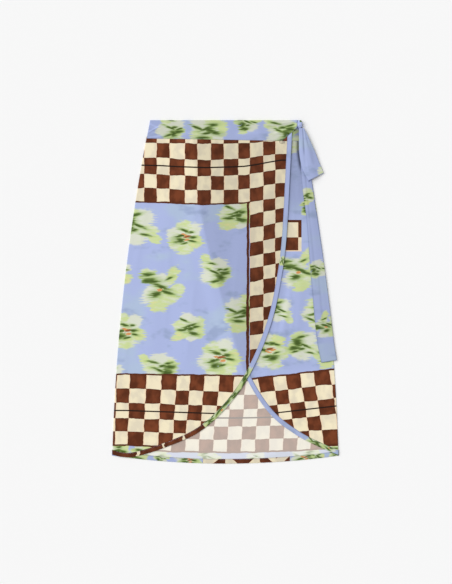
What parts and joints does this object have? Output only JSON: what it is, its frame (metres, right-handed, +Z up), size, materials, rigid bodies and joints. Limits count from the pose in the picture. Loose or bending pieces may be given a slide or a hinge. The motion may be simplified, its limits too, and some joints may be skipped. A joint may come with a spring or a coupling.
{
  "type": "wrap skirt",
  "caption": "Midi wrap skirt laid flat, with a bound curved overlap, checked borders round a blurred flower print, and a half-bow tie at the side of the waist.",
  "frame": {"origin": "middle of the footprint, on the surface that the skirt lies on", "axes": "+Y from the hem to the waist, +Z up from the surface through the back panel and then the fronts, +X towards the tie"},
  "size_m": [0.5288, 0.8003, 0.011],
  "materials": {
    "print_cloth": "soft matt printed viscose, periwinkle with lime flowers and brown and cream checked borders",
    "waistband_cloth": "the same print, flower ground, folded double and pressed",
    "binding_cloth": "the same print cut on the bias and folded over the edge",
    "tie_cloth": "the same print, soft and lightly creased"
  },
  "bodies": {
    "root": {"back_panel": "print_cloth", "back_waistband": "waistband_cloth", "back_hem_binding": "binding_cloth", "under_wrap_panel": "print_cloth", "under_wrap_waistband": "waistband_cloth", "under_wrap_binding": "binding_cloth", "over_wrap_panel": "print_cloth", "over_wrap_waistband": "waistband_cloth", "over_wrap_binding": "binding_cloth", "tie_knot": "tie_cloth", "tie_loop": "tie_cloth", "tie_tail": "tie_cloth"}
  },
  "joints": []
}
